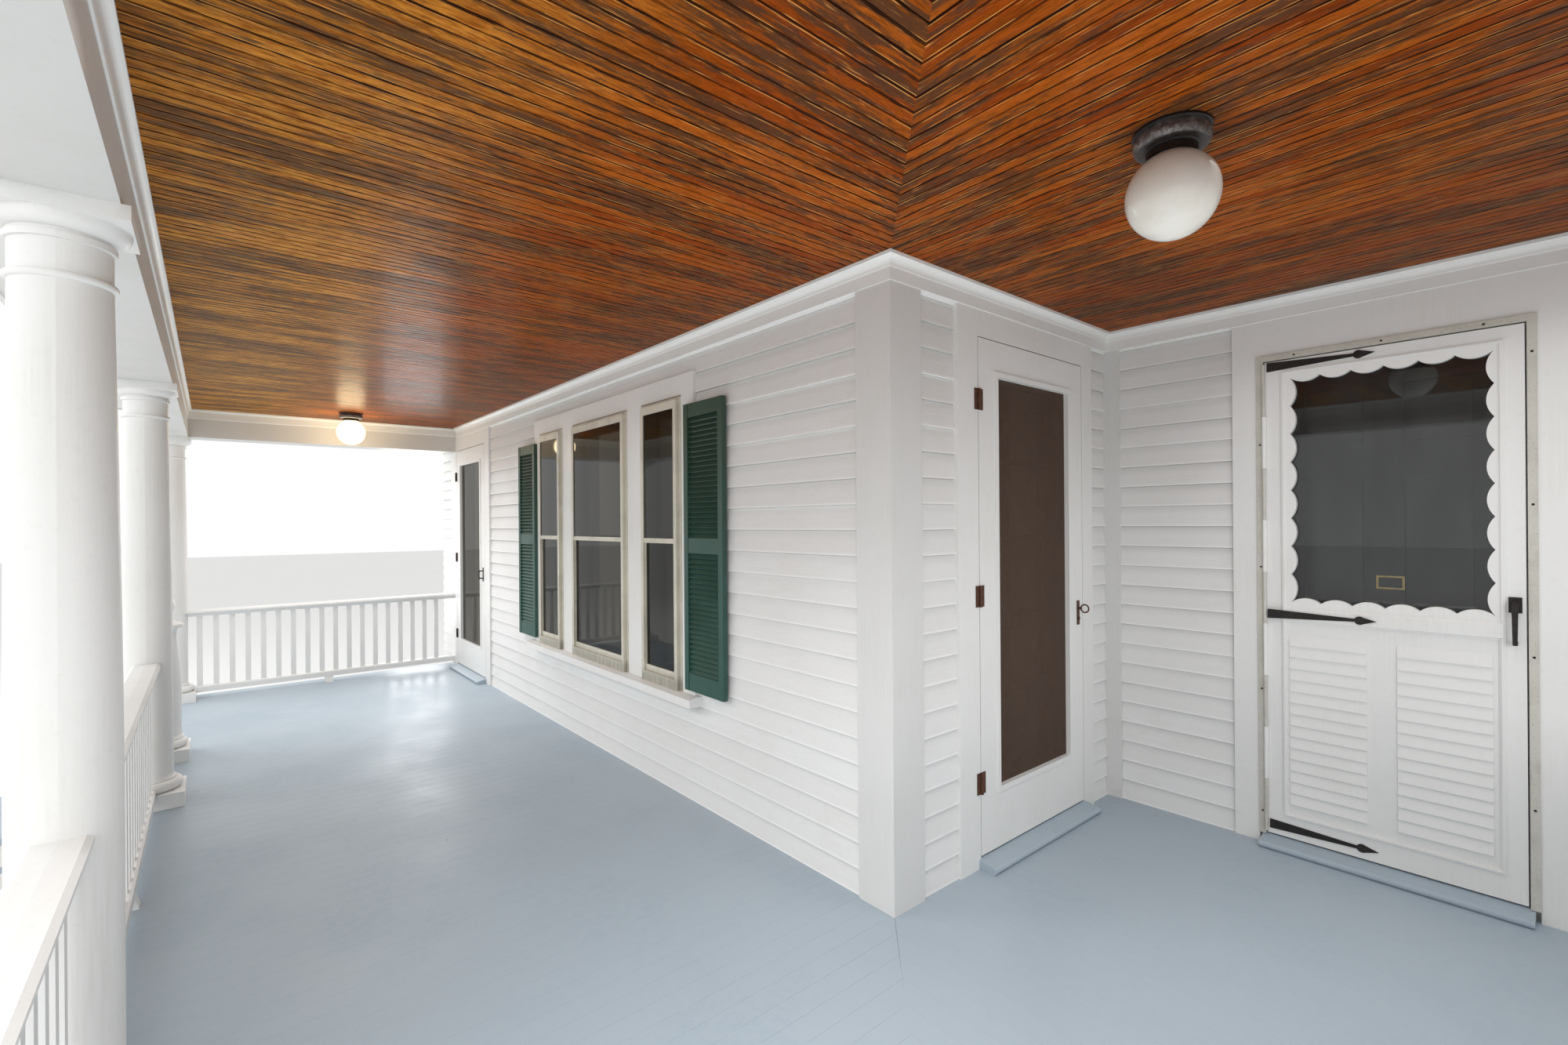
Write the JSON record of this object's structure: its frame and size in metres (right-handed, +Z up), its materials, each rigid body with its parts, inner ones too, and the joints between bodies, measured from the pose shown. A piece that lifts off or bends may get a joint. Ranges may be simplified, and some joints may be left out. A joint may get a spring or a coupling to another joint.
{
  "type": "front porch",
  "caption": "Wrap-around front porch of a white clapboard house: hip roof on round columns, stained ceiling, railings, steps, shuttered windows and hinged doors",
  "frame": {"origin": "Outer corner of the house wall, at ground level, on the underside of the house foundation", "axes": "+X runs right along the front wall, +Y runs into the house, +Z is up"},
  "size_m": [8.938, 5.083, 3.96],
  "materials": {
    "masonry": "weathered grey masonry",
    "frame_timber": "bare weathered timber",
    "floor_paint": "blue-grey floor paint with worn gloss",
    "white_trim": "white paint on wood",
    "white_wall": "white painted clapboards",
    "ceiling_stain": "orange-brown stained beadboard with a gloss varnish",
    "roofing": "dark grey shingles",
    "pale_metal": "beige painted aluminium",
    "window_glass": "clear glass",
    "shutter_green": "dark green paint",
    "dark_iron": "black hardware",
    "brown_iron": "brown hardware",
    "fly_screen": "brown mesh",
    "inner_stain": "brown stained wood",
    "dark_door": "dark painted panelled door",
    "fitter_iron": "dark cast metal",
    "globe_glass": "opal cream glass"
  },
  "bodies": {
    "porch": {"porch_piers": "masonry", "frame_front": "frame_timber", "frame_side": "frame_timber", "floor_front": "floor_paint", "floor_side": "floor_paint", "porch_skirts": "white_trim", "front_steps": "floor_paint", "column_end": "white_trim", "column_second": "white_trim", "column_first": "white_trim", "column_corner": "white_trim", "column_side": "white_trim", "newel_post": "white_trim", "front_railing": "white_trim", "end_railing": "white_trim", "side_railing": "white_trim", "porch_beam": "white_trim", "ceiling_front": "ceiling_stain", "ceiling_side": "ceiling_stain", "ceiling_crown": "white_trim", "eave_cornice": "white_trim", "roof_front": "roofing", "roof_side": "roofing", "roof_end": "roofing", "hip_caps": "roofing", "house_foundation": "masonry", "house_rim": "white_wall", "wall_a_left": "white_wall", "wall_a_head": "white_wall", "wall_a_main": "white_wall", "wall_b_near": "white_wall", "wall_b_head": "white_wall", "wall_b_far": "white_wall", "wall_c_near": "white_wall", "wall_c_head": "white_wall", "wall_c_far": "white_wall", "corner_boards": "white_trim", "window_frame": "white_trim", "storm_windows": "pale_metal", "window_sashes": "white_trim", "window_glass": "window_glass", "window_shutters": "shutter_green", "door_frames": "white_trim", "door_sills": "floor_paint", "door_hinges": "brown_iron", "storm_frame": "pale_metal", "light_fitters": "fitter_iron", "light_globes": "globe_glass"},
    "door_a": {"door_a": "white_trim", "door_a_glass": "window_glass", "door_a_hardware": "dark_iron"},
    "door_b": {"door_b": "white_trim", "door_b_screen": "fly_screen", "door_b_hardware": "brown_iron"},
    "storm_door": {"door_c": "white_trim", "door_c_glass": "window_glass", "door_c_hardware": "dark_iron"},
    "french_door": {"inner_door_b": "inner_stain", "inner_glass_b": "window_glass"},
    "front_door": {"inner_door_c": "dark_door"}
  },
  "joints": [
    {"name": "door_a_hinge", "type": "hinge", "parent": "porch", "child": "door_a", "pos_m": [-5.7095, -0.0343, 1.7], "axis": [0, 0, -1], "range_deg": [0, 90]},
    {"name": "door_b_hinge", "type": "hinge", "parent": "porch", "child": "door_b", "pos_m": [0.0343, 0.5145, 1.7], "axis": [0, 0, -1], "range_deg": [0, 90]},
    {"name": "storm_door_hinge", "type": "hinge", "parent": "porch", "child": "storm_door", "pos_m": [0.7215, 1.6507, 1.7], "axis": [0, 0, -1], "range_deg": [0, 90]},
    {"name": "french_door_hinge", "type": "hinge", "parent": "porch", "child": "french_door", "pos_m": [-0.1563, 0.5145, 1.7], "axis": [0, 0, 1], "range_deg": [0, 90]},
    {"name": "front_door_hinge", "type": "hinge", "parent": "porch", "child": "front_door", "pos_m": [0.7215, 1.8493, 1.7], "axis": [0, 0, 1], "range_deg": [0, 90]}
  ]
}
